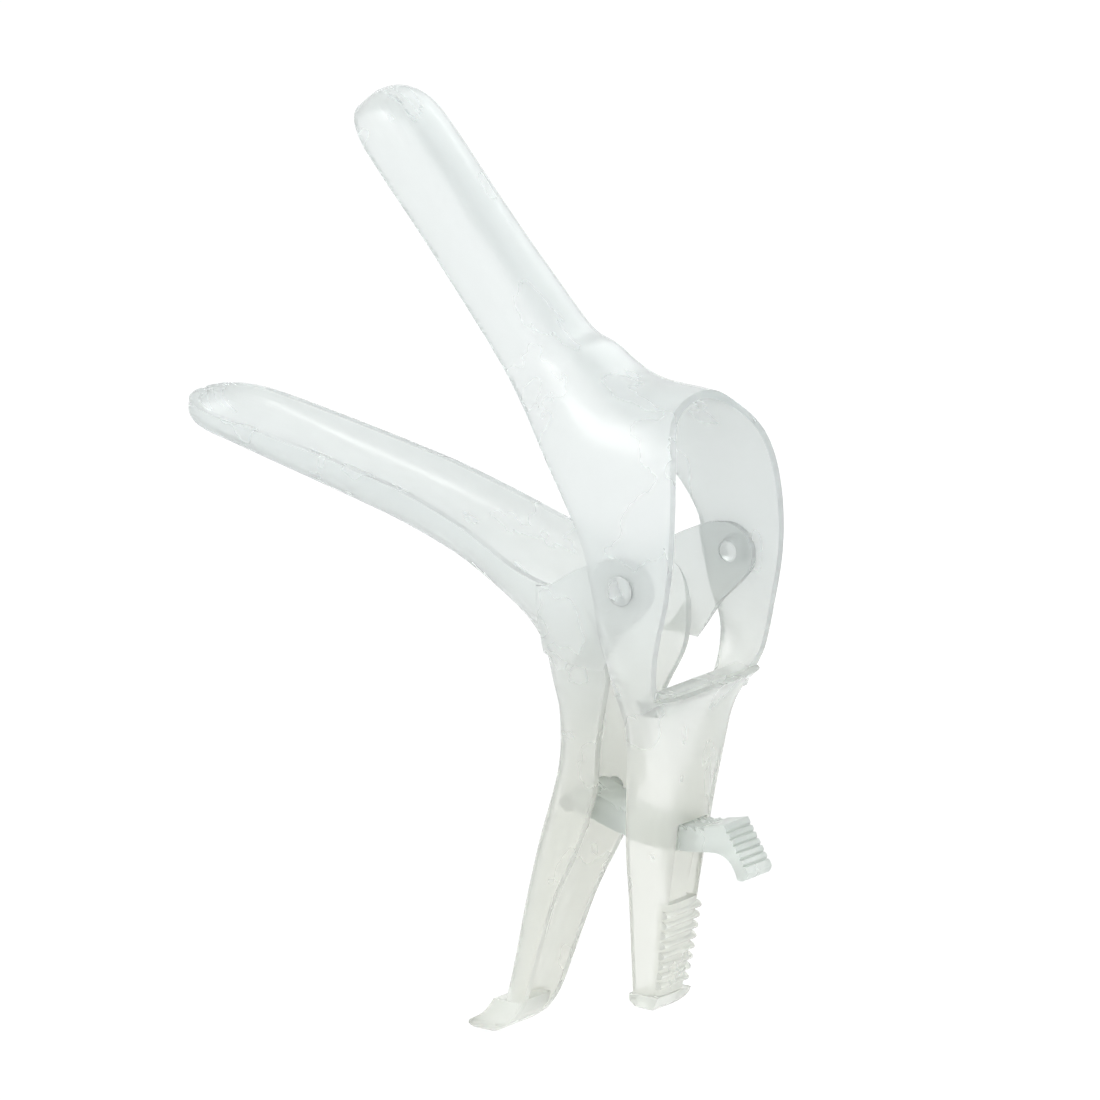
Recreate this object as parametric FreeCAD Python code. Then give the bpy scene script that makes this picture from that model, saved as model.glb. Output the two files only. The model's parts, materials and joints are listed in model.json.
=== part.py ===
import FreeCAD, Part
import math
import os

from FreeCAD import Placement, Rotation, Vector

# A single-use bivalve speculum: two clear mouldings that turn on a pair of pivots, and a toothed strap.
# X points from the hinge back to the user, Y across the object, Z up; the origin is the middle of the hinge.
# All lengths are millimetres and all angles are degrees, counted from +X towards +Z.

SIZES = {
    # blades
    "upper_angle": 131.6,
    "upper_length": 121.0,
    "upper_width": 19.4,
    "upper_depth": 11.8,
    "lower_angle": 172.0,
    "lower_length": 126.5,
    "lower_width": 24.8,
    "lower_depth": 9.0,
    "blade_wall": 1.6,
    # yoke ring and cheeks of the rear moulding
    "yoke_width": 42.6,
    "yoke_height": 40.0,
    "cheek_wall": 1.8,
    "rim_depth": 2.8,
    "rim_lip": 0.9,
    "window_floor": 24.0,
    "ledge_depth": 4.6,
    "ledge_height": 4.0,
    # rear handle
    "rear_grip_length": 97.0,
    "grip_wall": 1.8,
    "grip_web": 2.0,
    "toe_height": 4.0,
    "rib_count": 8,
    "rib_pitch": 2.3,
    "rib_height": 0.6,
    "rib_gap": 2.0,
    # front moulding
    "ear_gap": 0.5,
    "ear_radius": 6.3,
    "ear_wall": 1.8,
    "ear_proud": 0.3,
    "front_grip_length": 108.0,
    # pivots
    "pin_radius": 2.3,
    "pin_clearance": 0.05,
    "head_radius": 3.2,
    "head_height": 1.5,
    "head_gap": 0.15,
    # toothed strap
    "strap_radius": 54.6,
    "strap_height": 5.6,
    "strap_width": 8.7,
    "strap_root": -113.0,
    "strap_end": -77.0,
    "tooth_height": 1.1,
    "tooth_pitch": 2.3,
    "tooth_count": 11,
    "tab_length": 11.5,
    "tab_thickness": 3.4,
    "tab_angle": -57.0,
    "bar_radius": 1.9,
    "bar_clearance": 0.05,
    "socket_depth": 0.9,
    # slot that the strap passes through
    "catch_clearance": 0.25,
    "slot_side_clearance": 0.85,
    "slot_length": 18.0,
}

ARCH_POINTS = 15
ARCH_FINE = 600
SECTION_STEP = 6.0
HEAD_RIM = 0.35

doc = FreeCAD.newDocument("speculum")
sheet = doc.addObject("Spreadsheet::Sheet", "sizes")
for row, (alias, number) in enumerate(SIZES.items(), start=1):
    sheet.set(f"A{row}", alias)
    sheet.set(f"B{row}", str(number))
    sheet.setAlias(f"B{row}", alias)
doc.recompute()


def size(alias):
    """One driving dimension, read back from the sheet."""
    return float(sheet.get(alias))


def polar(radius, angle):
    """A side-view point at a distance and an angle from the hinge axis."""
    turn = math.radians(angle)
    return (radius * math.cos(turn), radius * math.sin(turn))


def along(angle, distance, height):
    """A side-view point at a distance along a blade and a height above the line through the hinge."""
    turn = math.radians(angle)
    x = distance * math.cos(turn) + height * math.sin(turn)
    z = distance * math.sin(turn) - height * math.cos(turn)
    return (x, z)


def mirrored(points):
    """The same points on the other side of the middle plane, in reverse order."""
    return [(-a, b) for a, b in reversed(points)]


def inset(points, amount):
    """An open run of points moved sideways, to its right-hand side, by the same amount."""
    moved = []
    last = len(points) - 1
    for i, (a, b) in enumerate(points):
        before = points[max(i - 1, 0)]
        after = points[min(i + 1, last)]
        da = after[0] - before[0]
        db = after[1] - before[1]
        length = math.hypot(da, db)
        moved.append((a + amount * db / length, b - amount * da / length))
    return moved


SIDE_VIEW = Rotation(Vector(1, 0, 0), 90)
REAR_VIEW = Rotation(Vector(1, 1, 1), 120)


def sketch(name, loops, turn, at=Vector(0, 0, 0)):
    """A sketch of closed loops. Each run of a loop is a line for two points and a spline for more."""
    drawn = doc.addObject("Sketcher::SketchObject", name)
    for runs in loops:
        for run in runs:
            points = [Vector(a, b, 0) for a, b in run]
            if len(points) == 2:
                drawn.addGeometry(Part.LineSegment(points[0], points[1]), False)
            else:
                curve = Part.BSplineCurve()
                curve.interpolate(points)
                drawn.addGeometry(curve, False)
    drawn.Placement = Placement(at, turn)
    return drawn


def polygon(points):
    """The straight runs of a closed outline."""
    return [[points[i], points[(i + 1) % len(points)]] for i in range(len(points))]


def extrude(name, base, direction, length):
    """A sketch drawn out by the same amount to both sides."""
    solid = doc.addObject("Part::Extrusion", name)
    solid.Base = base
    solid.DirMode = "Custom"
    solid.Dir = direction
    solid.LengthFwd = length
    solid.Symmetric = True
    solid.Solid = True
    return solid


def across(name, loops, width):
    """A side-view outline drawn out across the object."""
    return extrude(name, sketch(name + "_outline", loops, SIDE_VIEW), Vector(0, 1, 0), width)


def lengthways(name, loops, length):
    """A rear-view outline drawn out from front to back."""
    return extrude(name, sketch(name + "_outline", loops, REAR_VIEW), Vector(1, 0, 0), length)


def common(name, first, second):
    both = doc.addObject("Part::Common", name)
    both.Base = first
    both.Tool = second
    return both


def fuse(name, shapes):
    whole = doc.addObject("Part::MultiFuse", name)
    whole.Shapes = shapes
    return whole


def cut(name, base, tool):
    left = doc.addObject("Part::Cut", name)
    left.Base = base
    left.Tool = tool
    return left


def arch_points(half, height, power):
    """An arch over a chord, evenly spaced: square-shouldered for a large power, round for a power of two."""
    fine = []
    for i in range(ARCH_FINE + 1):
        turn = math.pi * i / ARCH_FINE
        c = math.cos(turn)
        s = math.sin(turn)
        fine.append((half * math.copysign(abs(c) ** (2 / power), c), height * abs(s) ** (2 / power)))
    reach = [0.0]
    for one, two in zip(fine, fine[1:]):
        reach.append(reach[-1] + math.hypot(two[0] - one[0], two[1] - one[1]))
    points = []
    k = 0
    for i in range(ARCH_POINTS):
        place = reach[-1] * i / (ARCH_POINTS - 1)
        while k < ARCH_FINE - 1 and reach[k + 1] < place:
            k += 1
        t = (place - reach[k]) / (reach[k + 1] - reach[k])
        points.append((fine[k][0] + t * (fine[k + 1][0] - fine[k][0]), fine[k][1] + t * (fine[k + 1][1] - fine[k][1])))
    points[0] = (half, 0.0)
    points[-1] = (-half, 0.0)
    return points


def section_points(base, top, half, power, wall):
    """The outer and inner arch of a thin-walled section from its base point to its top point."""
    foot = Vector(base[0], 0, base[1])
    rise = Vector(top[0], 0, top[1]) - foot
    height = rise.Length
    rise.normalize()
    side = Vector(0, 1, 0)
    outer = [foot + side * a + rise * b for a, b in arch_points(half, height, power)]
    inner = [foot + side * a + rise * b for a, b in arch_points(half - wall, height - wall, power)]
    return outer, inner


def ruled(first, second):
    return Part.makeRuledSurface(first.toShape(), second.toShape())


def trough(name, stations, wall):
    """A thin-walled bent channel. A station is base, top, width and shoulder power."""
    outer_rows = []
    inner_rows = []
    for base, top, width, power in even_stations(stations, SECTION_STEP):
        outer, inner = section_points(base, top, width / 2, power, wall)
        outer_rows.append(outer)
        inner_rows.append(inner)
    outside = Part.BSplineSurface()
    outside.interpolate(outer_rows)
    inside = Part.BSplineSurface()
    inside.interpolate(inner_rows)
    u_first, u_last, v_first, v_last = outside.bounds()
    faces = [outside.toShape(), inside.toShape()]
    for u, other in ((u_first, inside.bounds()[0]), (u_last, inside.bounds()[1])):
        faces.append(ruled(outside.uIso(u), inside.uIso(other)))
    for v, other in ((v_first, inside.bounds()[2]), (v_last, inside.bounds()[3])):
        faces.append(ruled(outside.vIso(v), inside.vIso(other)))
    skin = Part.makeCompound(faces)
    skin.sewShape()
    solid = Part.makeSolid(Part.Shell(skin.Faces))
    if solid.Volume < 0:
        solid.reverse()
    channel = doc.addObject("Part::Feature", name)
    channel.Shape = solid
    return channel


def tip_plan(name, angle, length, width):
    """A blade's outline seen square to it, with a rounded tip, as a block that trims the blade."""
    half = width / 2
    tip = [(half * 1.0, length - 13.0), (half * 0.97, length - 8.5), (half * 0.84, length - 4.2),
           (half * 0.56, length - 1.2), (0.0, length)]
    far = 60.0
    loop = [
        [(far, -200.0), (far, tip[0][1])],
        [(far, tip[0][1]), tip[0]],
        tip,
        mirrored(tip),
        [(-tip[0][0], tip[0][1]), (-far, tip[0][1])],
        [(-far, tip[0][1]), (-far, -200.0)],
        [(-far, -200.0), (far, -200.0)],
    ]
    forward = Vector(math.cos(math.radians(angle)), 0, math.sin(math.radians(angle)))
    side = Vector(0, 1, 0)
    up = side.cross(forward)
    drawn = sketch(name + "_outline", [loop], Rotation(side, forward, up, "XYZ"))
    return extrude(name, drawn, up, 500)


def even_stations(stations, step):
    """The same bent channel with its sections evenly spaced, on smooth curves through the given ones."""
    rows = [(base[0], base[1], top[0], top[1], width, power) for base, top, width, power in stations]
    places = [0.0]
    for one, two in zip(rows, rows[1:]):
        places.append(places[-1] + math.hypot(one[0] + one[2] - two[0] - two[2], one[1] + one[3] - two[1] - two[3]) / 2)

    def slope(i, k):
        low = max(i - 1, 0)
        high = min(i + 1, len(rows) - 1)
        return (rows[high][k] - rows[low][k]) / (places[high] - places[low])

    count = round(places[-1] / step) + 1
    even = []
    for n in range(count):
        place = places[-1] * n / (count - 1)
        i = max(j for j in range(len(rows) - 1) if places[j] <= place + 1e-9)
        span = places[i + 1] - places[i]
        t = (place - places[i]) / span
        row = []
        for k in range(6):
            a = (1 + 2 * t) * (1 - t) ** 2 * rows[i][k] + t * (1 - t) ** 2 * span * slope(i, k)
            b = t * t * (3 - 2 * t) * rows[i + 1][k] - t * t * (1 - t) * span * slope(i + 1, k)
            row.append(a + b)
        even.append(((row[0], row[1]), (row[2], row[3]), row[4], row[5]))
    return even


# The rear moulding: upper blade, hood, yoke ring and rear handle in one piece.

def upper_stations():
    """Sections of the upper blade from its closed nose back over the hood to the yoke ring."""
    angle = size("upper_angle")
    length = size("upper_length")
    width = size("upper_width")
    depth = size("upper_depth")
    rim = -0.9
    crest = rim + depth
    cheek = size("yoke_width")
    apex = size("yoke_height")
    toe = size("rear_grip_length")
    blade = [
        (along(angle, length + 3.0, rim + 0.9), along(angle, length + 3.0, crest - 1.6), width, 3.2),
        (along(angle, length - 14.0, rim), along(angle, length - 14.0, crest), width, 3.5),
        (along(angle, 90.0, rim), along(angle, 90.0, crest), width, 3.5),
        (along(angle, 72.0, rim), along(angle, 72.0, crest + 0.1), width * 1.06, 3.4),
        (along(angle, 54.0, rim), along(angle, 54.0, crest + 1.1), width * 1.2, 3.2),
    ]
    hood = [
        (along(angle, 43.0, rim), (-19.6, apex + 6.2), width * 1.41, 2.9),
        (along(angle, 34.0, rim), (-13.0, apex + 2.4), width * 1.7, 2.6),
        (along(angle, 21.0, rim), (-5.5, apex + 0.5), cheek - 2.4, 2.3),
        ((-9.6, 7.0), (4.0, apex), cheek, 2.15),
    ]
    cheeks = [
        ((-8.2, 1.0), (18.0, 36.0), cheek, 2.8),
        ((-7.0, -4.0), (28.0, 22.0), cheek, 3.8),
        ((-5.9, -9.0), (30.0, 4.0), cheek * 1.012, 5.0),
        ((-4.4, -13.5), (26.0, -10.0), cheek * 1.02, 5.5),
        ((-3.2, -18.5), (16.0, -20.0), cheek * 0.985, 5.5),
        ((-2.8, -25.0), (7.4, -26.5), cheek * 0.885, 5.2),
    ]
    grip = [
        ((-3.1, -31.5), (5.5, -32.5), cheek * 0.72, 5.0),
        ((-4.8, -41.7), (4.5, -42.8), cheek * 0.58, 5.0),
        ((-6.6, -51.4), (3.8, -52.0), cheek * 0.477, 5.0),
        ((-7.8, -61.5), (2.6, -62.0), cheek * 0.397, 5.0),
        ((-7.8, -72.7), (1.1, -73.0), cheek * 0.343, 5.0),
        ((-7.9, -84.0), (-0.5, -84.0), cheek * 0.3, 5.0),
        ((-8.0, 2.0 - toe), (-2.2, 2.0 - toe), cheek * 0.255, 5.0),
    ]
    return blade + hood + cheeks + grip


def rear_edge():
    """The rear rim and the back of the rear handle seen from the side, from the apex down to the toe."""
    apex = size("yoke_height")
    toe = -size("rear_grip_length")
    return [
        (5.4, apex + 0.4), (6.2, 35.2), (8.6, 31.0), (10.6, 25.5), (11.7, 18.0), (11.9, 6.2), (10.9, -2.5),
        (8.9, -11.4), (7.2, -21.3), (5.2, -32.4), (4.5, -42.8), (3.8, -51.5), (2.7, -60.0), (1.1, -72.2),
        (-0.2, -81.6), (-1.8, toe + 5.5), (-3.2, toe + 2.0), (-5.4, toe),
    ]


def behind_rim():
    """The space behind the ring that the window opens to, down to the ledge."""
    apex = size("yoke_height")
    floor = -size("window_floor")
    edge = [point for point in rear_edge() if point[1] > floor] + [(6.6, floor)]
    loop = [
        [(4.9, apex + 20.0), edge[0]],
        edge,
        [edge[-1], (60.0, floor)],
        [(60.0, floor), (60.0, apex + 20.0)],
        [(60.0, apex + 20.0), (4.9, apex + 20.0)],
    ]
    return across("behind_rim", [loop], 80)


def ledge():
    """The shelf across the foot of the window, thicker than the handle's web below it."""
    floor = -size("window_floor")
    foot = floor - size("ledge_height")
    rear = 6.6
    front = rear - size("ledge_depth")
    side = across("ledge_side", [polygon([(front, floor), (rear, floor), (5.9, foot), (front, foot)])], 80)
    half = size("yoke_width") / 2 - 1.0
    outline = polygon([(half * 0.89, floor), (half * 0.79, foot), (-half * 0.79, foot), (-half * 0.89, floor)])
    return common("ledge", side, lengthways("ledge_rear", [outline], 40))


def rear_toe():
    """The solid rounded toe of the rear handle."""
    toe = -size("rear_grip_length")
    top = toe + size("toe_height")
    half = size("yoke_width") * 0.14
    outline = [(-8.7, top), (-8.8, toe + 2.2), (-7.6, toe + 0.6), (-5.8, toe), (-3.8, toe + 0.5), (-2.2, toe + 2.0),
               (-1.2, top)]
    ring = [(half, top), (half, toe + 2.8), (half * 0.85, toe + 1.0), (half * 0.5, toe), (-half * 0.5, toe),
            (-half * 0.85, toe + 1.0), (-half, toe + 2.8), (-half, top)]
    side = across("toe_side", [polygon(outline)], 40)
    return common("rear_toe", side, lengthways("toe_rear", [polygon(ring)], 60))


def strap_slot():
    """The tall slot in the back of the rear handle, with its upper edge as the catch."""
    half = size("strap_width") / 2 + size("slot_side_clearance")
    top = -(size("strap_radius") - size("catch_clearance"))
    bottom = top - size("slot_length")
    outline = polygon([(-half, top), (half, top), (half, bottom), (-half, bottom)])
    return lengthways("slot", [outline], 40)


def grip_ribs():
    """Low cross ribs on the back of the rear handle, below the slot."""
    edge = rear_edge()
    start = -(size("strap_radius") + size("slot_length") + size("rib_gap"))
    loops = []
    for i in range(int(size("rib_count"))):
        z = start - i * size("rib_pitch")
        above = max(j for j, point in enumerate(edge) if point[1] >= z)
        (xa, za), (xb, zb) = edge[above], edge[above + 1]
        x = xa + (xb - xa) * (z - za) / (zb - za)
        rise = size("rib_height")
        half = size("rib_pitch") * 0.34
        loops.append([[(x - 1.0, z + half), (x - 0.1, z + half), (x + rise, z), (x - 0.1, z - half),
                       (x - 1.0, z - half)], [(x - 1.0, z - half), (x - 1.0, z + half)]])
    bars = across("ribs_side", loops, 80)
    wide = size("yoke_width") * 0.15
    narrow = size("yoke_width") * 0.11
    outline = lengthways("ribs_rear", [polygon([(-wide, -72.0), (wide, -72.0), (narrow, -96.0), (-narrow, -96.0)])], 100)
    return common("ribs", bars, outline)


def pivot_hole(name, radius, length):
    """A bore across the whole object on the hinge axis."""
    hole = doc.addObject("Part::Cylinder", name)
    hole.Radius = radius
    hole.Height = length
    hole.Placement = Placement(Vector(0, length / 2, 0), Rotation(Vector(1, 0, 0), 90))
    return hole


def upper_blade():
    channel = trough("rear_channel", upper_stations(), size("cheek_wall"))
    plan = tip_plan("upper_tip", size("upper_angle"), size("upper_length"), size("upper_width"))
    tipped = common("rear_tipped", channel, plan)
    ringed = cut("rear_ringed", tipped, behind_rim())
    whole = fuse("rear_whole", [ringed, ledge(), rear_toe()])
    slotted = cut("rear_slotted", whole, strap_slot())
    bore = pivot_hole("cheek_bore", size("pin_radius") + size("pin_clearance"), 80)
    bored = cut("rear_bored", slotted, bore)
    return fuse("upper_blade", [bored, grip_ribs()])


# The front moulding: lower blade, ears and front handle as one bent channel.

def ear_half():
    """Half of the width over the ears, so that they turn inside the cheeks."""
    return size("yoke_width") / 2 - size("cheek_wall") - size("ear_gap")


def lower_stations():
    """Sections of the lower blade from its closed nose, round the neck and down the front handle."""
    angle = size("lower_angle")
    length = size("lower_length")
    width = size("lower_width")
    depth = size("lower_depth")
    neck = 2 * (ear_half() - size("ear_proud"))
    toe = -size("front_grip_length")
    blade = [
        (along(angle, length + 3.0, -0.6), along(angle, length + 3.0, 4.2 - depth), width, 3.0),
        (along(angle, length - 14.0, 0.2), along(angle, length - 14.0, 2.9 - depth), width, 3.2),
        (along(angle, 98.0, 0.3), along(angle, 98.0, 1.7 - depth), width * 0.99, 3.2),
        (along(angle, 78.0, 0.0), along(angle, 78.0, 0.3 - depth), width, 3.1),
        (along(angle, 61.0, -0.8), along(angle, 61.5, -1.1 - depth), width * 1.03, 3.0),
        (along(angle, 48.0, -2.2), along(angle, 49.5, -2.6 - depth), width * 1.11, 2.9),
    ]
    bend = [
        ((-38.0, 0.9), (-41.5, -8.6), width * 1.24, 2.9),
        ((-29.5, -2.1), (-34.2, -14.0), width * 1.38, 2.9),
        ((-22.5, -3.0), (-28.8, -20.0), neck - 0.8, 3.0),
        ((-12.0, -6.0), (-26.0, -27.0), neck, 3.4),
        ((-8.6, -21.5), (-25.2, -34.0), neck * 0.79, 3.8),
        ((-11.8, -30.0), (-25.6, -39.5), neck * 0.65, 4.2),
    ]
    grip = [
        ((-14.5, -40.0), (-26.4, -45.0), 20.8, 4.6),
        ((-15.2, -48.0), (-28.4, -52.0), 19.8, 5.0),
        ((-19.5, -60.5), (-32.0, -63.0), 18.9, 5.0),
        ((-27.3, -76.0), (-36.0, -78.0), 17.3, 4.6),
        ((-32.4, -90.0), (-39.6, -92.0), 15.2, 4.2),
        ((-36.6, toe + 7.0), (-43.0, toe + 5.6), 13.4, 3.8),
        ((-41.5, toe + 1.8), (-46.4, toe + 1.6), 12.0, 3.4),
    ]
    return blade + bend + grip


def front_lip():
    """The solid toe with its small lip that points forwards."""
    toe = -size("front_grip_length")
    loop = [
        [(-37.2, toe + 8.0), (-38.6, toe + 4.4), (-42.4, toe + 1.2), (-46.8, toe - 0.6), (-50.2, toe - 1.0)],
        [(-50.2, toe - 1.0), (-51.4, toe + 0.4), (-50.0, toe + 2.4)],
        [(-50.0, toe + 2.4), (-46.6, toe + 4.4), (-43.6, toe + 8.0)],
        [(-43.6, toe + 8.0), (-37.2, toe + 8.0)],
    ]
    plan = [(0.0, 30.0), (7.0, 30.0), (6.9, 8.0), (6.5, 4.0), (5.4, 1.2), (3.4, -0.4), (0.0, -1.0)]
    side = across("lip_side", [loop], 40)
    ring = [(a, b + toe) for a, b in plan]
    right = [[ring[0], ring[1]], ring[1:]]
    left = [mirrored(ring)[:-1], [mirrored(ring)[-2], mirrored(ring)[-1]]]
    outline = lengthways("lip_front", [right + left], 160)
    return common("front_toe", side, outline)


def ear_outline():
    """One ear seen from the side: round the pivot, then down into the neck."""
    radius = size("ear_radius")
    top = [polar(radius, angle) for angle in (-42.0, -10.0, 20.0, 50.0, 80.0, 105.0)]
    return [
        top,
        [top[-1], (-6.8, 4.9), (-11.0, 3.0), (-15.4, 0.6), (-19.5, -2.2), (-24.0, -3.4)],
        [(-24.0, -3.4), (-24.0, -19.0)],
        [(-24.0, -19.0), (-9.4, -24.0)],
        [(-9.4, -24.0), (-8.2, -21.0), (-5.0, -15.6), (-2.2, -11.4), (1.6, -7.6), top[0]],
    ]


def ears():
    """Both ears: parallel walls that run inside the cheeks."""
    half = ear_half()
    plates = across("ear_plates", [ear_outline()], 2 * half)
    inside = doc.addObject("Part::Box", "between_ears")
    inside.Length = 60
    inside.Width = 2 * (half - size("ear_wall"))
    inside.Height = 60
    inside.Placement = Placement(Vector(-45, -(half - size("ear_wall")), -40), Rotation())
    narrowing = [(half, 20.0), (half, -9.0), (half * 0.985, -13.0), (half * 0.94, -18.0), (half * 0.86, -22.0),
                 (half * 0.76, -26.0)]
    loop = [narrowing, [narrowing[-1], (-narrowing[-1][0], narrowing[-1][1])], mirrored(narrowing),
            [(-half, 20.0), (half, 20.0)]]
    outline = lengthways("ear_rear", [loop], 100)
    return common("ear_pair", cut("ear_walls", plates, inside), outline)


def strap_sockets():
    """Blind sockets in the flanges of the front handle for the strap's cross bar."""
    x, z = polar(size("strap_radius") + size("strap_height") / 2, size("strap_root"))
    bar = doc.addObject("Part::Cylinder", "bar_sockets")
    bar.Radius = size("bar_radius") + size("bar_clearance")
    half = socket_half() + 0.1
    bar.Height = 2 * half
    bar.Placement = Placement(Vector(x, half, z), Rotation(Vector(1, 0, 0), 90))
    return bar


def flange_inner():
    """Half of the clear width between the flanges of the front handle at the strap's root."""
    return 19.5 / 2 - size("grip_wall")


def socket_half():
    """How far the strap's cross bar reaches to each side."""
    return flange_inner() + size("socket_depth")


def lower_blade():
    channel = trough("front_channel", lower_stations(), size("ear_wall"))
    plan = tip_plan("lower_tip", size("lower_angle"), size("lower_length"), size("lower_width"))
    tipped = common("front_tipped", channel, plan)
    socketed = cut("front_socketed", tipped, strap_sockets())
    eared = fuse("front_eared", [socketed, ears()])
    bored = cut("front_bored", eared, pivot_hole("ear_bore", size("pin_radius"), 80))
    return fuse("lower_blade", [bored, front_lip()])


# The toothed strap: an arc about the hinge axis, a cross bar at its root and a bent thumb tab.

def arc_points(radius, start, end, count):
    return [polar(radius, start + (end - start) * i / (count - 1)) for i in range(count)]


def strap_outline():
    """The strap and its tab seen from the side."""
    top = size("strap_radius")
    bottom = top + size("strap_height")
    root = size("strap_root")
    end = size("strap_end")
    turn = math.radians(size("tab_angle"))
    reach = (math.cos(turn), math.sin(turn))
    across_tab = (reach[1], -reach[0])
    knee = polar(top, end + 2.6)
    tip = (knee[0] + reach[0] * size("tab_length"), knee[1] + reach[1] * size("tab_length"))
    thick = size("tab_thickness")
    inner_tip = (tip[0] + across_tab[0] * thick, tip[1] + across_tab[1] * thick)
    inner_knee = polar(bottom, end - 3.4)
    blend = (inner_tip[0] - reach[0] * size("tab_length") * 0.42,
             inner_tip[1] - reach[1] * size("tab_length") * 0.42)
    round_tip = (tip[0] + across_tab[0] * thick / 2 + reach[0] * 0.9,
                 tip[1] + across_tab[1] * thick / 2 + reach[1] * 0.9)
    shoulder = polar(top, end)
    upper = arc_points(top, root, end - 2.0, 9)
    lower = arc_points(bottom, end - 3.4, root, 9)
    return [
        upper,
        [upper[-1], shoulder, knee],
        [knee, tip],
        [tip, round_tip, inner_tip],
        [inner_tip, blend, inner_knee],
        lower,
        [lower[-1], upper[0]],
    ]


def tooth_notches():
    """Saw-tooth notches along the top of the strap."""
    top = size("strap_radius")
    pitch = size("tooth_pitch")
    depth = size("tooth_height")
    first = size("strap_end") - 3.2
    loops = []
    for i in range(int(size("tooth_count"))):
        angle = first - i * pitch
        steep = polar(top - 0.5, angle)
        valley = polar(top + depth, angle + 0.1)
        gentle = polar(top - 0.05, angle - pitch * 0.92)
        corner = polar(top - 0.5, angle - pitch * 0.92)
        loops.append(polygon([steep, valley, gentle, corner]))
    return across("notches", loops, 40)


def tab_grooves():
    """Cross grooves on the outer face of the thumb tab."""
    turn = math.radians(size("tab_angle"))
    reach = (math.cos(turn), math.sin(turn))
    out = (-reach[1], reach[0])
    knee = polar(size("strap_radius"), size("strap_end") + 2.6)
    loops = []
    for i in range(6):
        middle = 1.7 + i * 1.6
        x = knee[0] + reach[0] * middle
        z = knee[1] + reach[1] * middle
        low = (x - out[0] * 0.55, z - out[1] * 0.55)
        before = (x - reach[0] * 0.6 + out[0] * 0.3, z - reach[1] * 0.6 + out[1] * 0.3)
        after = (x + reach[0] * 0.6 + out[0] * 0.3, z + reach[1] * 0.6 + out[1] * 0.3)
        loops.append(polygon([before, low, after]))
    return across("grooves", loops, 40)


def cross_bar():
    x, z = polar(size("strap_radius") + size("strap_height") / 2, size("strap_root"))
    bar = doc.addObject("Part::Cylinder", "cross_bar")
    bar.Radius = size("bar_radius")
    bar.Height = 2 * socket_half()
    bar.Placement = Placement(Vector(x, socket_half(), z), Rotation(Vector(1, 0, 0), 90))
    knuckle = doc.addObject("Part::Cylinder", "knuckle")
    knuckle.Radius = size("strap_height") / 2
    knuckle.Height = size("strap_width")
    knuckle.Placement = Placement(Vector(x, size("strap_width") / 2, z), Rotation(Vector(1, 0, 0), 90))
    return fuse("strap_root_end", [bar, knuckle])


def ratchet_strap():
    blank = across("strap_blank", [strap_outline()], size("strap_width"))
    toothed = cut("strap_toothed", blank, tooth_notches())
    serrated = cut("strap_serrated", toothed, tab_grooves())
    return fuse("ratchet_strap", [serrated, cross_bar()])


# The pivots: a domed head outside the cheek and a shank pressed into the ear.

def pivot_pin(name, side):
    body = doc.addObject("PartDesign::Body", name)
    plane = [item for item in body.Origin.OriginFeatures if item.Role == "XY_Plane"][0]
    profile = body.newObject("Sketcher::SketchObject", name + "_profile")
    profile.AttachmentSupport = (plane, [""])
    profile.MapMode = "FlatFace"
    inner = ear_half() - size("ear_wall")
    seat = size("yoke_width") / 2 + size("head_gap")
    shank = size("pin_radius")
    head = size("head_radius")
    rise = size("head_height")
    points = [(0, inner), (shank - 0.3, inner), (shank, inner + 0.3), (shank, seat), (head, seat),
              (head, seat + HEAD_RIM)]
    for i in range(len(points) - 1):
        profile.addGeometry(Part.LineSegment(Vector(*points[i], 0), Vector(*points[i + 1], 0)), False)
    dome = rise - HEAD_RIM
    ball = (head * head + dome * dome) / (2 * dome)
    lean = math.asin(head / ball) / 2
    dome_top = Vector(0, seat + rise, 0)
    dome_side = Vector(ball * math.sin(lean), seat + rise - ball + ball * math.cos(lean), 0)
    profile.addGeometry(Part.Arc(Vector(head, seat + HEAD_RIM, 0), dome_side, dome_top), False)
    profile.addGeometry(Part.LineSegment(dome_top, Vector(0, inner, 0)), False)
    doc.recompute()
    turned = body.newObject("PartDesign::Revolution", name + "_turned")
    turned.Profile = profile
    turned.ReferenceAxis = (profile, ["V_Axis"])
    turned.Angle = 360
    body.Placement = Placement(Vector(0, 0, 0), Rotation(Vector(1, 0, 0), 0 if side > 0 else 180))
    return body


nodes = {
    "upper_blade": upper_blade(),
    "lower_blade": lower_blade(),
    "ratchet_strap": ratchet_strap(),
    "pivot_pin_left": pivot_pin("pivot_pin_left", -1),
    "pivot_pin_right": pivot_pin("pivot_pin_right", 1),
}
doc.recompute()

failed = [item.Name for item in doc.Objects if "Invalid" in item.State or "Error" in item.State]
if failed:
    raise RuntimeError("these did not build: " + ", ".join(failed))

os.makedirs("parts", exist_ok=True)
for node, item in nodes.items():
    shape = item.Shape
    if shape.isNull() or not shape.isValid():
        raise RuntimeError(f"{node} is not a valid solid")
    shape.exportStep(f"parts/{node}.step")
    box = shape.BoundBox
    print(node, "solids", len(shape.Solids), "volume", round(shape.Volume, 1),
          "size", [round(v, 1) for v in (box.XLength, box.YLength, box.ZLength)])
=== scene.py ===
# %% [markdown]
# # A clear plastic bivalve speculum
# The object is two clear mouldings that turn on a pair of small pivots, and a toothed strap that locks them.
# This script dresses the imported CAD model. It closes the noses of both blades, which the CAD leaves open, moves a
# few forms by a millimetre or two, and gives the pieces hazy clear plastic, with a milkier one for the strap.

# %% Load the frame
import json
import math

import bmesh
import bpy
from mathutils import Matrix, Vector


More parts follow.
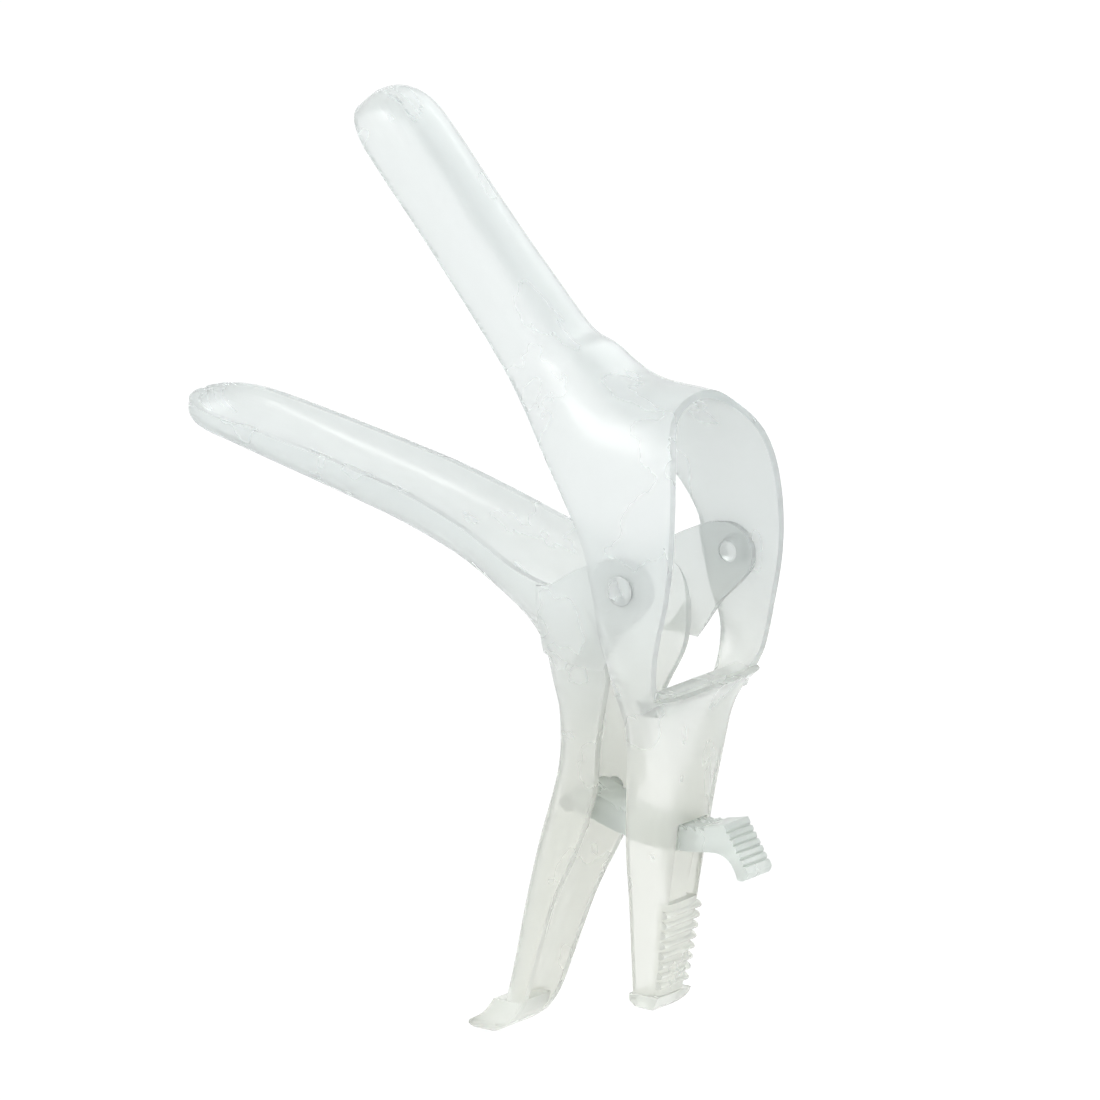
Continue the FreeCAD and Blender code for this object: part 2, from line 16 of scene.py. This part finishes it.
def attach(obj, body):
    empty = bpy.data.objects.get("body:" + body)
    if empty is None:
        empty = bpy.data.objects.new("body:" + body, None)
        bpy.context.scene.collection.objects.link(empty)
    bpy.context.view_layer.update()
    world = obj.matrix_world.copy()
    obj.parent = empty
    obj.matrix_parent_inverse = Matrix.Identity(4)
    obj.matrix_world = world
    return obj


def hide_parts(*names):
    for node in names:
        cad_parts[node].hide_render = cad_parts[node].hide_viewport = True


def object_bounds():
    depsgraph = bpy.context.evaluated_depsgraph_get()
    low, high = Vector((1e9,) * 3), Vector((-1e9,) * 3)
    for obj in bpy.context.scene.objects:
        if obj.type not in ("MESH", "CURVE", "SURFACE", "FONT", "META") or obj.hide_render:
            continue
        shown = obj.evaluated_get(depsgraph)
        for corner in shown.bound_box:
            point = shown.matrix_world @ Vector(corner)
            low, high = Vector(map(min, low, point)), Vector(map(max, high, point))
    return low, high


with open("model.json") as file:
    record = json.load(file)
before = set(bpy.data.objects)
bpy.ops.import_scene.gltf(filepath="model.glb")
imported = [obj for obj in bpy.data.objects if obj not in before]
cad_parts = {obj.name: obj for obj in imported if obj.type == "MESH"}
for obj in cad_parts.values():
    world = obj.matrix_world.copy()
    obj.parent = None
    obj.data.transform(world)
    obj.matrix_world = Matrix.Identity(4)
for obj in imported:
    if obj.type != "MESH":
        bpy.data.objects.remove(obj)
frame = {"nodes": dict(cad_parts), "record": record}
cad_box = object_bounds()
record = frame["record"]
scene = bpy.context.scene

# %% [markdown]
# ## The camera
# The photograph looks at the object from its near side, turned 36 degrees and raised 15 degrees. Its lines hardly
# converge, so the camera stands far away behind a long lens. The view centre is set off from the hinge in the
# picture plane, so that the hinge falls where the photograph has it. Lengths here and below are in metres.

# %% Camera
AZIMUTH = math.radians(36.0)
ELEVATION = math.radians(15.4)
DISTANCE = 6.0
FRAME_WIDTH = 0.2315
HINGE_RIGHT = 0.0273
HINGE_DOWN = 0.0040

toward = Vector((math.sin(AZIMUTH) * math.cos(ELEVATION), -math.cos(AZIMUTH) * math.cos(ELEVATION),
                 math.sin(ELEVATION)))
right = Vector((math.cos(AZIMUTH), math.sin(AZIMUTH), 0.0))
up = toward.cross(right)
centre = -right * HINGE_RIGHT + up * HINGE_DOWN

camera_data = bpy.data.cameras.new("camera")
camera_data.sensor_width = 36.0
camera_data.lens = camera_data.sensor_width * DISTANCE / FRAME_WIDTH
camera_data.clip_end = 20.0
camera = bpy.data.objects.new("camera", camera_data)
scene.collection.objects.link(camera)
camera.matrix_world = Matrix((right, up, toward)).transposed().to_4x4()
camera.location = centre + toward * DISTANCE
scene.camera = camera
print("lens", round(camera_data.lens, 1), "mm at", round(DISTANCE, 3), "m")

# %% [markdown]
# ## Backdrop and light
# The photograph is a cut-out on pure white. The floor and the world are white where the camera looks and where it
# looks through or off the plastic, while the light on the object stays plain: three soft boxes and an even fill.
# The floor mixes in a little of its matt shade, which leaves only a trace of the object's shadow.

# %% Light and backdrop
scene.view_settings.view_transform = "Standard"
FILL = 0.8
LAMPS = (
    # name, place from the middle of the object, size, power in watts, colour
    ("key_light", (-0.35, -0.55, 0.65), 0.35, 2.4, (1.0, 0.99, 0.97)),
    ("side_light", (0.75, -0.25, 0.25), 0.45, 1.2, (0.98, 0.99, 1.0)),
    ("rear_light", (0.05, 0.7, 0.5), 0.5, 1.6, (0.98, 1.0, 1.0)),
)
FLOOR_REACH = 12.0
FLOOR_GAP = 0.0005
FLOOR_GLOW = 1.08
FLOOR_WHITE_SHARE = 0.86


def seen_directly(tree):
    """One for a ray from the camera, one that went through plastic and one that glanced off it."""
    path = tree.nodes.new("ShaderNodeLightPath")
    through = tree.nodes.new("ShaderNodeMath")
    through.operation = "MAXIMUM"
    tree.links.new(path.outputs["Is Camera Ray"], through.inputs[0])
    tree.links.new(path.outputs["Is Transmission Ray"], through.inputs[1])
    either = tree.nodes.new("ShaderNodeMath")
    either.operation = "MAXIMUM"
    tree.links.new(through.outputs[0], either.inputs[0])
    tree.links.new(path.outputs["Is Glossy Ray"], either.inputs[1])
    return either.outputs[0]


def mixed(tree, share, plain, seen, socket):
    """Sends a mix of two shaders to an output socket."""
    mix = tree.nodes.new("ShaderNodeMixShader")
    tree.links.new(share, mix.inputs[0])
    tree.links.new(plain, mix.inputs[1])
    tree.links.new(seen, mix.inputs[2])
    tree.links.new(mix.outputs[0], socket)


world = bpy.data.worlds.new("studio")
world.use_nodes = True
sky = world.node_tree
sky.nodes.clear()
sky_out = sky.nodes.new("ShaderNodeOutputWorld")
sky_white = sky.nodes.new("ShaderNodeBackground")
sky_white.inputs["Color"].default_value = (1.0, 1.0, 1.0, 1.0)
sky_white.inputs["Strength"].default_value = 1.0
sky_fill = sky.nodes.new("ShaderNodeBackground")
sky_fill.inputs["Color"].default_value = (0.95, 0.97, 1.0, 1.0)
sky_fill.inputs["Strength"].default_value = FILL
mixed(sky, seen_directly(sky), sky_fill.outputs[0], sky_white.outputs[0], sky_out.inputs["Surface"])
scene.world = world


def soft_box(name, place, aim, size, power, colour):
    """A square area lamp that looks at a point."""
    data = bpy.data.lights.new(name, "AREA")
    data.shape = "SQUARE"
    data.size = size
    data.energy = power
    data.color = colour
    lamp = bpy.data.objects.new(name, data)
    scene.collection.objects.link(lamp)
    lamp.location = place
    lamp.rotation_euler = (Vector(aim) - Vector(place)).to_track_quat("-Z", "Y").to_euler()


middle = (Vector(cad_box[0]) + Vector(cad_box[1])) / 2
for name, offset, size, power, colour in LAMPS:
    soft_box(name, middle + Vector(offset), middle, size, power, colour)

floor_mesh = bpy.data.meshes.new("floor")
floor_z = cad_box[0][2] - FLOOR_GAP
floor_corners = [(x * FLOOR_REACH, y * FLOOR_REACH, floor_z)
                 for x, y in ((-1, -1), (1, -1), (1, 1), (-1, 1))]
floor_mesh.from_pydata(floor_corners, [], [(0, 1, 2, 3)])
floor = bpy.data.objects.new("floor", floor_mesh)
scene.collection.objects.link(floor)
floor_paint = bpy.data.materials.new("floor_paint")
floor_paint.use_nodes = True
ground = floor_paint.node_tree
ground.nodes.clear()
ground_out = ground.nodes.new("ShaderNodeOutputMaterial")
ground_matt = ground.nodes.new("ShaderNodeBsdfDiffuse")
ground_matt.inputs["Color"].default_value = (0.9, 0.9, 0.9, 1)
ground_white = ground.nodes.new("ShaderNodeEmission")
ground_white.inputs["Color"].default_value = (1, 1, 1, 1)
ground_white.inputs["Strength"].default_value = FLOOR_GLOW
ground_share = ground.nodes.new("ShaderNodeMath")
ground_share.operation = "MULTIPLY"
ground_share.inputs[1].default_value = FLOOR_WHITE_SHARE
ground.links.new(seen_directly(ground), ground_share.inputs[0])
mixed(ground, ground_share.outputs[0], ground_matt.outputs[0], ground_white.outputs[0],
      ground_out.inputs["Surface"])
floor_mesh.materials.append(floor_paint)
print("floor at", round(floor_z, 4))

# %% [markdown]
# ## The clear plastic
# Both mouldings are clear plastic with a haze, so that a wall looks like thin frosted glass and what is behind it
# shows softly. Its colour builds up through the thickness, so edges look darker and greener than faces. Part of
# the surface answers light like matt plastic, which is the haze. Flow lines from the mould make its gloss and its
# surface slightly uneven. The handles are a little warmer in colour than the blades.

# %% Clear plastic
WARM_BELOW = -0.060
COOL_ABOVE = 0.010
FLOW_SCALE = 60.0
FLOW_DEPTH = 0.0005


def object_noise(tree, scale, detail, stretch):
    """Noise on the object's own coordinates, stretched along its axes."""
    where = tree.nodes.new("ShaderNodeTexCoord")
    place = tree.nodes.new("ShaderNodeMapping")
    place.inputs["Scale"].default_value = stretch
    noise = tree.nodes.new("ShaderNodeTexNoise")
    noise.inputs["Scale"].default_value = scale
    noise.inputs["Detail"].default_value = detail
    tree.links.new(where.outputs["Object"], place.inputs["Vector"])
    tree.links.new(place.outputs["Vector"], noise.inputs["Vector"])
    return noise


def spread(tree, source, low, high):
    """Maps the middle of a noise onto a narrow range."""
    between = tree.nodes.new("ShaderNodeMapRange")
    between.inputs["From Min"].default_value = 0.3
    between.inputs["From Max"].default_value = 0.7
    between.inputs["To Min"].default_value = low
    between.inputs["To Max"].default_value = high
    tree.links.new(source, between.inputs["Value"])
    return between.outputs["Result"]


def moulded_plastic(name, tint, warm, see_through, ior, rough, flow, absorb, density):
    """A moulded plastic: gloss, a little unevenness, and colour that builds up with depth."""
    material = bpy.data.materials.new(name)
    material.use_nodes = True
    tree = material.node_tree
    shader = tree.nodes["Principled BSDF"]
    shader.inputs["Transmission Weight"].default_value = see_through
    shader.inputs["IOR"].default_value = ior
    where = tree.nodes.new("ShaderNodeTexCoord")
    split = tree.nodes.new("ShaderNodeSeparateXYZ")
    tree.links.new(where.outputs["Object"], split.inputs[0])
    height = tree.nodes.new("ShaderNodeMapRange")
    height.interpolation_type = "SMOOTHSTEP"
    height.inputs["From Min"].default_value = WARM_BELOW
    height.inputs["From Max"].default_value = COOL_ABOVE
    tree.links.new(split.outputs["Z"], height.inputs["Value"])
    shade = tree.nodes.new("ShaderNodeMix")
    shade.data_type = "RGBA"
    shade.inputs[6].default_value = (*warm, 1)
    shade.inputs[7].default_value = (*tint, 1)
    tree.links.new(height.outputs["Result"], shade.inputs[0])
    tree.links.new(shade.outputs[2], shader.inputs["Base Color"])
    lines = object_noise(tree, FLOW_SCALE, 3.0, (1.0, 2.4, 0.8))
    tree.links.new(spread(tree, lines.outputs["Fac"], rough * 0.8, rough * 1.2), shader.inputs["Roughness"])
    bump = tree.nodes.new("ShaderNodeBump")
    bump.inputs["Strength"].default_value = flow
    bump.inputs["Distance"].default_value = FLOW_DEPTH
    tree.links.new(lines.outputs["Fac"], bump.inputs["Height"])
    tree.links.new(bump.outputs["Normal"], shader.inputs["Normal"])
    depth = tree.nodes.new("ShaderNodeVolumeAbsorption")
    depth.inputs["Color"].default_value = (*absorb, 1)
    depth.inputs["Density"].default_value = density
    tree.links.new(depth.outputs["Volume"], tree.nodes["Material Output"].inputs["Volume"])
    return material


clear = moulded_plastic("clear_plastic", tint=(0.91, 0.935, 0.925), warm=(0.945, 0.95, 0.90), see_through=0.62,
                        ior=1.36, rough=0.25, flow=0.12, absorb=(0.6, 0.78, 0.72), density=14.0)
milky = moulded_plastic("milky_plastic", tint=(0.86, 0.90, 0.87), warm=(0.88, 0.91, 0.87), see_through=0.45,
                        ior=1.45, rough=0.30, flow=0.2, absorb=(0.7, 0.85, 0.78), density=40.0)

# %% [markdown]
# ## Small bends
# Compared with the photograph, a few forms of the CAD are off by a millimetre or two. They are pushed into place
# here by smooth moves that fade out with distance, so a wall keeps its thickness and its neighbours stay put.

# %% Smooth moves


def fade(value, start, end):
    """Rises smoothly from 0 at the start to 1 at the end."""
    place = min(max((value - start) / (end - start), 0.0), 1.0)
    return place * place * (3 - 2 * place)


def turn_blade(work, angle, extra, start, end):
    """Turns a blade about the hinge by an extra angle, fading in along its length."""
    ahead = Vector((math.cos(angle), 0.0, math.sin(angle)))
    for vert in work.verts:
        share = fade(vert.co.dot(ahead), start, end)
        if share:
            # a positive turn about -Y raises the angle measured from +X to +Z
            vert.co = Matrix.Rotation(-extra * share, 3, "Y") @ vert.co


def push(work, place, reach, move):
    """Pushes what lies near a point of the side view, with a bell-shaped fade."""
    for vert in work.verts:
        far = ((vert.co.x - place[0]) ** 2 + (vert.co.z - place[1]) ** 2) / (2 * reach * reach)
        if far < 8:
            vert.co += Vector((move[0], 0.0, move[1])) * math.exp(-far)


# %% [markdown]
# ## Closed noses
# A blade ends in a smooth closed nose. The wall is cut square a short way before the tip, and the cut edge is
# drawn forward in rows. Each row is narrower and lower than the last, by the rule of a superellipse, and its inner
# side stops one wall earlier, so the nose is a solid wall all round. The last row is closed by a small end face.

# %% Noses drawn from the cut edge of a blade
WALL = 0.0018
NOSE_ROWS = (0.12, 0.24, 0.36, 0.47, 0.57, 0.66, 0.74, 0.81, 0.87, 0.92, 0.955, 0.98, 0.993, 0.999)


def nose_share(place, power=2.4):
    """How much of a blade's width is left at a share of its nose's length."""
    return max(1.0 - min(place, 1.0) ** power, 0.0) ** (1.0 / power)


def draw_nose(work, angle, length, nose, blunt, power, crown):
    """Replaces a blade's open end by a closed nose. The crown is +1 or -1, the side the blade bulges to."""
    ahead = Vector((math.cos(angle), 0.0, math.sin(angle)))
    rise = Vector((math.sin(angle), 0.0, -math.cos(angle))) * crown
    start = length - nose
    everything = list(work.verts) + list(work.edges) + list(work.faces)
    bmesh.ops.bisect_plane(work, geom=everything, dist=1e-7, plane_co=ahead * start, plane_no=ahead,
                           clear_outer=True)
    rim = [edge for edge in work.edges if edge.is_boundary and
           all(abs(vert.co.dot(ahead) - start) < 1e-5 for vert in edge.verts)]
    corners = list(dict.fromkeys(vert for edge in rim for vert in edge.verts))
    foot = min(vert.co.dot(rise) for vert in corners)
    half = max(abs(vert.co.y) for vert in corners)
    depth = max(vert.co.dot(rise) for vert in corners) - foot
    sides = {}
    for vert in corners:
        y = abs(vert.co.y)
        h = vert.co.dot(rise) - foot
        outside = ((y / half) ** power + (h / depth) ** power) ** (1 / power)
        inside = ((y / (half - WALL)) ** power + (h / (depth - WALL)) ** power) ** (1 / power)
        from_skin = max(1.0 - outside, 0.0)
        from_hollow = max(inside - 1.0, 0.0)
        sides[vert] = (vert.co.y, h, from_skin / max(from_skin + from_hollow, 1e-9))
    last = {vert: vert for vert in corners}
    for place in NOSE_ROWS:
        share = nose_share(place)  # of the skin
        hollow = nose_share(place * nose / (nose - WALL))  # of the trough
        row = {}
        for vert, (y, h, inner) in sides.items():
            out = place * nose * (1 - inner) + min(place * nose, nose - WALL) * inner
            wide = share * (1 - inner) + hollow * inner
            tall = (blunt + (1 - blunt) * share) * (1 - inner) + hollow * inner
            row[vert] = work.verts.new(ahead * (start + out) + Vector((0, y * wide, 0)) + rise * (foot + h * tall))
        for edge in rim:
            one, two = edge.verts
            work.faces.new((last[one], last[two], row[two], row[one]))
        last = row
    bmesh.ops.remove_doubles(work, verts=list(dict.fromkeys(last.values())), dist=4e-6)
    bmesh.ops.remove_doubles(work, verts=work.verts, dist=1e-7)
    bmesh.ops.holes_fill(work, edges=[edge for edge in work.edges if edge.is_boundary], sides=0)
    bmesh.ops.triangulate(work, faces=[face for face in work.faces if len(face.verts) > 3])
    bmesh.ops.recalc_face_normals(work, faces=work.faces)
    if work.calc_volume(signed=True) < 0:
        bmesh.ops.reverse_faces(work, faces=work.faces)
    print("nose", round(half * 2000, 1), "mm wide,", round(depth * 1000, 1), "mm deep, open edges left",
          sum(1 for edge in work.edges if not edge.is_manifold))


# %% [markdown]
# ## Smooth skins
# The CAD meshes are loose patches of triangles. Each is copied, its doubled vertices are joined, and the copy is
# shaded smooth except where two faces meet at more than the sharp angle. The normals that came with the CAD mesh
# are dropped, because they don't fit the moved forms.

# %% Smooth copies of the mouldings
SHARP_ANGLE = math.radians(32.0)
UPPER_ANGLE = math.radians(131.6)
LOWER_ANGLE = math.radians(172.0)
NOSE_LENGTH = 0.0134


def smooth_copy(node, body, material, reshape=None):
    """A welded, smooth-shaded copy that stands for a CAD node."""
    source = frame["nodes"][node]
    mesh = source.data.copy()
    mesh.name = node + "_skin"
    if "custom_normal" in mesh.attributes:
        mesh.attributes.remove(mesh.attributes["custom_normal"])
    work = bmesh.new()
    work.from_mesh(mesh)
    bmesh.ops.remove_doubles(work, verts=work.verts, dist=1e-7)
    if reshape:
        reshape(work)
    for face in work.faces:
        face.smooth = True
    for edge in work.edges:
        edge.smooth = len(edge.link_faces) == 2 and edge.calc_face_angle(0.0) < SHARP_ANGLE
    open_edges = sum(1 for edge in work.edges if not edge.is_manifold)
    work.to_mesh(mesh)
    work.free()
    mesh.materials.clear()
    mesh.materials.append(material)
    piece = bpy.data.objects.new(node + "_moulding", mesh)
    scene.collection.objects.link(piece)
    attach(piece, body)
    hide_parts(node)
    print(piece.name, len(mesh.vertices), "vertices", len(mesh.polygons), "faces,", open_edges, "open edges")


body_of_node = {node: body for body, members in record["behaviour"]["bodies"].items() for node in members}
slot_of_node = {entry["node"]: entry["material_slot"] for entry in record["subparts"]}


def shape_rear_moulding(work):
    """Closes the upper blade's nose, turns the blade half a degree back and flattens the hood."""
    draw_nose(work, UPPER_ANGLE, 0.121, NOSE_LENGTH, blunt=0.3, power=3.3, crown=1)
    turn_blade(work, UPPER_ANGLE, math.radians(0.5), 0.045, 0.075)
    push(work, (-0.014, 0.043), 0.011, (-0.0016, -0.0014))


def shape_front_moulding(work):
    """Closes the lower blade's nose, lifts the blade a degree and draws in the neck."""
    draw_nose(work, LOWER_ANGLE, 0.1265, NOSE_LENGTH, blunt=0.4, power=3.0, crown=-1)
    turn_blade(work, LOWER_ANGLE, math.radians(-1.0), 0.040, 0.070)
    push(work, (-0.031, -0.019), 0.008, (0.0019, 0.0015))


reshaped = {"upper_blade": shape_rear_moulding, "lower_blade": shape_front_moulding}
for node in ("upper_blade", "lower_blade", "ratchet_strap", "pivot_pin_left", "pivot_pin_right"):
    paint = milky if slot_of_node[node] == "milky_plastic" else clear
    smooth_copy(node, body_of_node[node], paint, reshaped.get(node))
